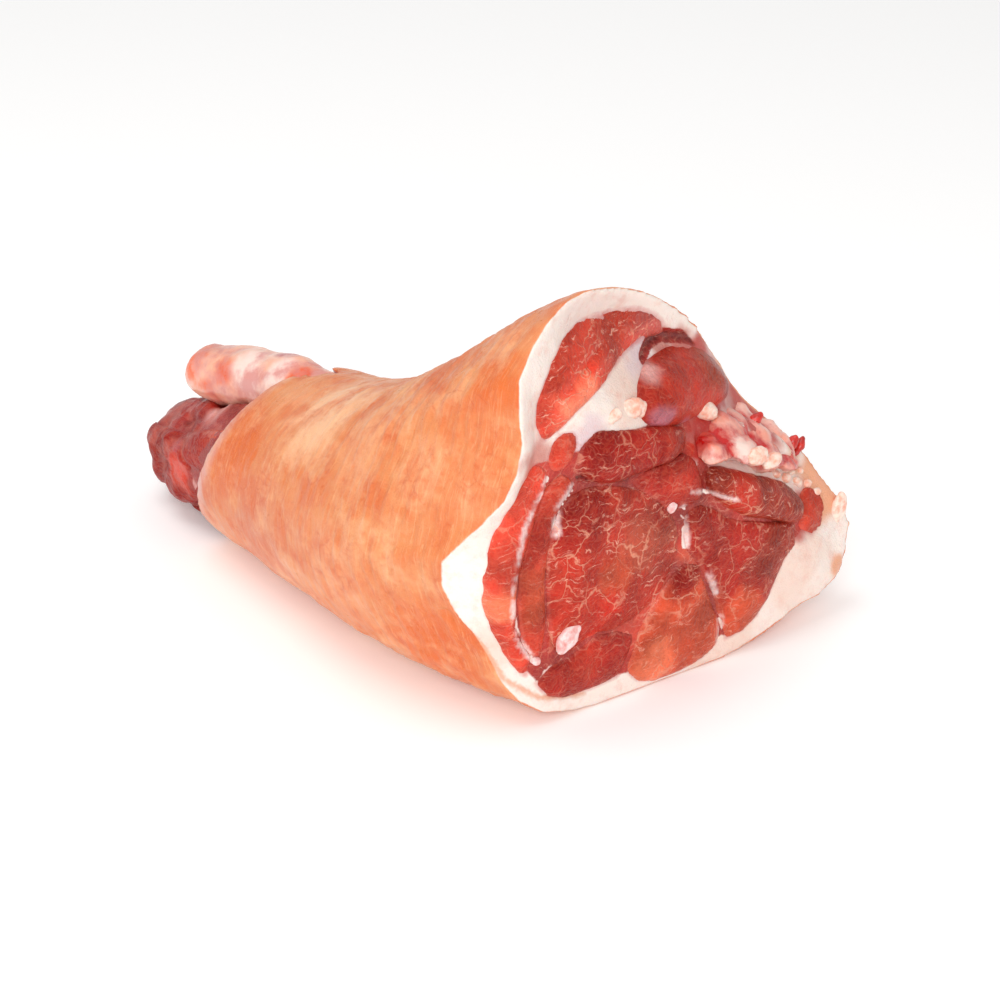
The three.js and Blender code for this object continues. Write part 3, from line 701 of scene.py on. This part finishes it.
def lean_material():
    """Wet raw pork: the lean look under a thin film of juice, which gives small sharp lights."""
    material = new_material("lean_pork")
    place = add(material, "ShaderNodeTexCoord", {}, {}).outputs["Object"]
    colour, relief, gloss = lean_look(material, place)
    bump = add(material, "ShaderNodeBump", {}, {"Strength": 0.7, "Distance": 0.8 * MM, "Height": relief})
    surface = add(material, "ShaderNodeBsdfPrincipled", {},
                  {"Base Color": colour, "Roughness": gloss, "Normal": bump.outputs[0],
                   "Specular IOR Level": 0.15, "Subsurface Weight": 0.1, "Subsurface Radius": (1.0, 0.2, 0.1),
                   "Subsurface Scale": 2 * MM, "Coat Weight": 0.1, "Coat Roughness": 0.06})
    add(material, "ShaderNodeOutputMaterial", {}, {"Surface": surface.outputs[0]})
    return material


lean = lean_material()
muscles = []
for number, name in enumerate(MUSCLE_NODES):
    muscle = merged_copy(name, f"{name}_flesh")
    even_skin(muscle, MUSCLE_VOXEL, MUSCLE_SMOOTHING)
    ripple(muscle, SWELL_SIZE, SWELL_HEIGHT)
    ripple(muscle, BUNDLE_SIZE, BUNDLE_HEIGHT)
    muscle_places = rows_of(muscle)
    outward = rows_of(muscle, "normal") * np.array([0, 1, 1])
    behind_cut = muscle_places[:, 0].max() - muscle_places[:, 0]
    near_cut = 1 - smooth_step(behind_cut, CLOSING_FULL, CLOSING_FROM)
    widening = near_cut * WIDE_CLOSING.get(name, SEAM_CLOSING)
    put_places(muscle, lobed(muscle_places + outward * widening[:, None]))
    muscle_places = rows_of(muscle)
    ground, patches = MUSCLE_TONES[name]
    tones = toned(muscle_places, ground, patches, 20 + number)
    sinew = np.max([near_line(muscle_places, *seam) for seam in WHITE_SEAMS], axis=0)
    sinew *= near_cut * smooth_step(cloud(muscle_places, 5 * MM, 12), -0.6, 0.1)
    tones = blended(tones, "#f2dad6", 0.85 * sinew)
    aged = 1 - smooth_step(muscle_places[:, 0], -90 * MM, -40 * MM)
    paint_colour(muscle, "lean_tone", blended(tones, stump_tone(muscle_places), aged))
    paint_value(muscle, "to_fat", distances(muscle_places, fat_tree) / MM)
    paint_value(muscle, "marbling", MARBLING.get(name, LEAST_MARBLING) * (1 - 0.85 * aged))
    muscle.data.materials.append(lean)
    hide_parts(name)
    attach(muscle, "root")
    muscles.append(muscle)

# The knuckle of the upper bone: knobs of pinkish-white bone and gristle with blood between them.
# It stands proud of the cut below the shoulder dome, where the joint was parted.
KNUCKLE_VOXEL = 0.8 * MM
KNUCKLE_SMOOTHING = 3
KNOB_SIZE, KNOB_HEIGHT = 17 * MM, 8 * MM
# Gristle is white to pink, fresh bone is peach to orange, and blood lies in the hollows.
BONE_WHITE = "#fbdcd0"
BONE_PINK = "#f5a28c"
BONE_PEACH = "#f9b496"
BONE_ORANGE = "#ef6c3c"
BONE_RED = "#e6563f"
BONE_BLOOD = "#c24c50"
KNUCKLE_TONES = (BONE_PINK, [
    ((131, 22, 102), 9, BONE_RED), ((138, 40, 93), 9, BONE_WHITE), ((116, 45, 106), 11, BONE_RED),
])


def bone_material(name, blood):
    """Wet bone and gristle: pinkish white on the knobs, blood red down between them."""
    material = new_material(name)
    place = add(material, "ShaderNodeTexCoord", {}, {}).outputs["Object"]
    depth = add(material, "ShaderNodeAttribute", {"attribute_name": "hollow"}, {}).outputs["Fac"]
    mottle = add(material, "ShaderNodeTexNoise", {},
                 {"Vector": place, "Scale": spacing(7.7), "Detail": 5.0, "Roughness": 0.6}).outputs[0]
    fine = add(material, "ShaderNodeTexNoise", {},
               {"Vector": place, "Scale": spacing(1.6), "Detail": 3.0}).outputs[0]
    tone = add(material, "ShaderNodeAttribute", {"attribute_name": "bone_tone"}, {}).outputs["Color"]
    sheen = add(material, "ShaderNodeMapRange", {},
                {"Value": mottle, "From Min": 0.42, "From Max": 0.62, "To Max": 0.5})
    pale = add(material, "ShaderNodeMix", {"data_type": "RGBA"},
               {SHARE: sheen.outputs[0], UNDER: tone, OVER: opaque("#fde0d4")})
    ragged = add(material, "ShaderNodeMath", {"operation": "MULTIPLY_ADD"},
                 {0: mottle, 1: 1.6, 2: depth})
    bloody = add(material, "ShaderNodeMapRange", {},
                 {"Value": ragged.outputs[0], "From Min": 0.68, "From Max": 1.1, "To Max": blood})
    colour = add(material, "ShaderNodeMix", {"data_type": "RGBA"},
                 {SHARE: bloody.outputs[0], UNDER: pale.outputs[MIXED], OVER: opaque("#c81410")})
    bump = add(material, "ShaderNodeBump", {}, {"Strength": 0.4, "Distance": 0.5 * MM, "Height": fine})
    surface = add(material, "ShaderNodeBsdfPrincipled", {},
                  {"Base Color": colour.outputs[MIXED], "Roughness": 0.3, "Normal": bump.outputs[0],
                   "Subsurface Weight": 0.2, "Subsurface Radius": (1.0, 0.5, 0.4),
                   "Subsurface Scale": 3 * MM, "Coat Weight": 0.35, "Coat Roughness": 0.15})
    add(material, "ShaderNodeOutputMaterial", {}, {"Surface": surface.outputs[0]})
    return material


def knobbled(piece, knob, height):
    """Raises rounded knobs on a piece and remembers how deep the hollows between them are."""
    before = tree_of(piece)
    ripple(piece, knob, -height, kind="VORONOI")
    ripple(piece, knob / 3, -height / 4)
    put_places(piece, rows_of(piece))
    sunk = []
    for row in rows_of(piece):
        spot, normal, _, _ = before.find_nearest(Vector(row))
        sunk.append((spot - Vector(row)).dot(normal) / height)
    paint_value(piece, "hollow", sunk)


knuckle = merged_copy("knuckle_bone", "knuckle_bone_knobs")
even_skin(knuckle, KNUCKLE_VOXEL, KNUCKLE_SMOOTHING)
knobbled(knuckle, KNOB_SIZE, KNOB_HEIGHT)
paint_colour(knuckle, "bone_tone", toned(rows_of(knuckle), *KNUCKLE_TONES, 30))
knuckle.data.materials.append(bone_material("knuckle_bone", 1.0))
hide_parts("knuckle_bone")
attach(knuckle, "root")

# The shank bone: a club of pale pink gristle over bone, lying on top of the trimmed stump.
# The rind and the lean were cut away round it, so it stands clear and shows its rounded end.
SHANK_VOXEL = 1.0 * MM
SHANK_SMOOTHING = 4
SHANK_SWELL_SIZE, SHANK_SWELL_HEIGHT = 24 * MM, 3 * MM
SHANK_TONES = (BONE_PEACH, [
    ((-118, -70, 72), 11, BONE_ORANGE), ((-92, -72, 79), 9, BONE_ORANGE), ((-103, -76, 64), 10, BONE_ORANGE),
    ((-72, -68, 84), 15, BONE_WHITE), ((-56, -62, 87), 10, BONE_WHITE), ((-62, -52, 96), 8, BONE_BLOOD),
    ((-42, -60, 92), 8, BONE_ORANGE),
])
shank = merged_copy("shank_bone", "shank_bone_club")
even_skin(shank, SHANK_VOXEL, SHANK_SMOOTHING)
knobbled(shank, SHANK_SWELL_SIZE, SHANK_SWELL_HEIGHT)
paint_colour(shank, "bone_tone", toned(rows_of(shank), *SHANK_TONES, 31))
shank.data.materials.append(bone_material("shank_bone", 0.55))
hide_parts("shank_bone")
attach(shank, "root")

# Scraps that the knife left on the cut: crumbs and knobs of yellowish fat, tags of silvery sinew,
# and a torn tip of dark lean above the knuckle. They cling to the wet face by their own weight.
cut_face = tree_of(rind, knuckle, *muscles)
# Each scrap is its y and z on the cut and its length, width and height, in mm, and its lean in degrees.
FAT_SCRAPS = [
    ((69, 71), (4, 5, 4), 20), ((75, 67), (5, 6, 4), -30), ((80, 68), (4, 4, 3), 0),
    ((83, 63), (5, 6, 4), 40), ((89, 60), (4, 5, 4), -20), ((93, 56), (4, 5, 3), 10),
    ((87, 66), (3, 4, 3), 50),
    ((31, 110), (8, 13, 8), 35), ((-14, 126), (5, 15, 9), 15), ((-26, 127), (3, 8, 6), -20),
    ((46, 91), (7, 11, 8), 0), ((58, 84), (6, 10, 6), -20), ((104, 46), (5, 8, 15), 15),
]
SINEW_SCRAPS = [
    ((-50, 38), (5, 9, 15), 40), ((-64, 31), (3, 4, 4), 0), ((3, 80), (3, 5, 6), 0),
]
LEAN_SCRAPS = [
    ((88, 74), (6, 13, 4), -42), ((84, 78), (6, 9, 4), -38), ((63, 95), (5, 9, 4), -35),
]
SCRAP_VOXEL = 0.5 * MM
SCRAP_SMOOTHING = 6
BEFORE_CUT = 300 * MM


def scraps(name, places, knob, material):
    """Lumps of one kind, each pressed onto the cut at its place, with its size and its lean."""
    parts = []
    for (y, z), size, lean_angle in places:
        spot = cut_face.ray_cast(Vector((BEFORE_CUT, y * MM, z * MM)), Vector((-1, 0, 0)))[0]
        bpy.ops.object.select_all(action="DESELECT")
        bpy.ops.mesh.primitive_ico_sphere_add(subdivisions=4, radius=0.5, location=spot)
        bpy.ops.transform.resize(value=[length * MM for length in size])
        bpy.ops.transform.rotate(value=math.radians(lean_angle), orient_axis="X", center_override=spot)
        bpy.ops.object.transform_apply(location=True, rotation=True, scale=True)
        parts.append(bpy.context.object)
    piece = parts[0]
    join_into(piece, parts[1:])
    piece.name = name
    even_skin(piece, SCRAP_VOXEL, 1)
    ripple(piece, knob, 0.55 * knob)
    shape(piece, "SMOOTH", factor=0.5, iterations=SCRAP_SMOOTHING)
    put_places(piece, rows_of(piece))
    piece.data.materials.append(material)
    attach(piece, "root")


def scrap_material(name, low_colour, high_colour):
    """Wet torn tissue: two tones that run into each other within a few millimetres."""
    material = new_material(name)
    place = add(material, "ShaderNodeTexCoord", {}, {}).outputs["Object"]
    mottle = add(material, "ShaderNodeTexNoise", {},
                 {"Vector": place, "Scale": spacing(3.8), "Detail": 4.0, "Roughness": 0.6}).outputs[0]
    spread = add(material, "ShaderNodeMapRange", {}, {"Value": mottle, "From Min": 0.36, "From Max": 0.58})
    colour = add(material, "ShaderNodeMix", {"data_type": "RGBA"},
                 {SHARE: spread.outputs[0], UNDER: opaque(low_colour), OVER: opaque(high_colour)})
    bump = add(material, "ShaderNodeBump", {}, {"Strength": 0.3, "Distance": 0.4 * MM, "Height": mottle})
    surface = add(material, "ShaderNodeBsdfPrincipled", {},
                  {"Base Color": colour.outputs[MIXED], "Roughness": 0.32, "Normal": bump.outputs[0],
                   "Subsurface Weight": 0.2, "Subsurface Radius": (1.0, 0.5, 0.35),
                   "Subsurface Scale": 2 * MM, "Coat Weight": 0.3, "Coat Roughness": 0.15})
    add(material, "ShaderNodeOutputMaterial", {}, {"Surface": surface.outputs[0]})
    return material


wet_fat = scrap_material("fat_scrap", "#f2ab90", "#fae0d0")
wet_sinew = scrap_material("sinew_scrap", "#e89a94", "#f9dcd8")
wet_lean = scrap_material("lean_scrap", "#a8140c", "#d83022")
scraps("fat_scraps", FAT_SCRAPS, 3.5 * MM, wet_fat)
scraps("sinew_scraps", SINEW_SCRAPS, 4 * MM, wet_sinew)
scraps("lean_scraps", LEAN_SCRAPS, 3.5 * MM, wet_lean)

# The camera, the table and the light: the leg lies on a plain pale table in soft studio light.
# The camera stands a little above it and to the left of the cut face, as the photograph's did.
# The table is a matt white sheet that also glows faintly, as a lit photo table does.
AZIMUTH = math.radians(54)
ELEVATION = math.radians(26)
CAMERA_DISTANCE = 1.2
FOCAL_LENGTH_MM = 106
SENSOR_WIDTH_MM = 36
SKY_LIGHT = 0.62
TABLE_GLOW = 0.14
TABLE_SIDE = 6
LOOK_AT = Vector((81.9, -41.9, 74.0)) * MM
toward_camera = Vector((
    math.sin(AZIMUTH) * math.cos(ELEVATION),
    -math.cos(AZIMUTH) * math.cos(ELEVATION),
    math.sin(ELEVATION),
))
lens = bpy.data.cameras.new("camera")
lens.lens = FOCAL_LENGTH_MM
lens.sensor_width = SENSOR_WIDTH_MM
camera = bpy.data.objects.new("camera", lens)
camera.location = LOOK_AT + toward_camera * CAMERA_DISTANCE
camera.rotation_euler = toward_camera.to_track_quat("Z", "Y").to_euler()
bpy.context.scene.collection.objects.link(camera)
bpy.context.scene.camera = camera
bpy.context.scene.view_settings.view_transform = "Standard"

world = bpy.data.worlds.new("studio")
bpy.context.scene.world = world
world.use_nodes = True
world.node_tree.nodes["Background"].inputs["Strength"].default_value = SKY_LIGHT
world.node_tree.nodes["Background"].inputs["Color"].default_value = (1, 1, 1, 1)

LAMPS = {
    "key": {"place": (1.2, -1.0, 0.9), "size": 0.7, "power": 12.5},
    "top": {"place": (-0.1, -0.5, 1.7), "size": 0.9, "power": 9},
}
for name, lamp in LAMPS.items():
    light = bpy.data.lights.new(name, "AREA")
    light.size = lamp["size"]
    light.energy = lamp["power"]
    lamp_object = bpy.data.objects.new(name, light)
    lamp_object.location = lamp["place"]
    lamp_object.rotation_euler = (Vector(lamp["place"]) - LOOK_AT).to_track_quat("Z", "Y").to_euler()
    bpy.context.scene.collection.objects.link(lamp_object)

bpy.ops.object.select_all(action="DESELECT")
bpy.ops.mesh.primitive_plane_add(size=TABLE_SIDE)
floor = bpy.context.object
floor.name = "floor"
table_top = new_material("matt_white_sheet")
table_surface = add(table_top, "ShaderNodeBsdfPrincipled", {},
                    {"Base Color": opaque("#fbfaf9"), "Roughness": 0.7,
                     "Emission Color": opaque("#ffffff"), "Emission Strength": TABLE_GLOW})
add(table_top, "ShaderNodeOutputMaterial", {}, {"Surface": table_surface.outputs[0]})
floor.data.materials.append(table_top)
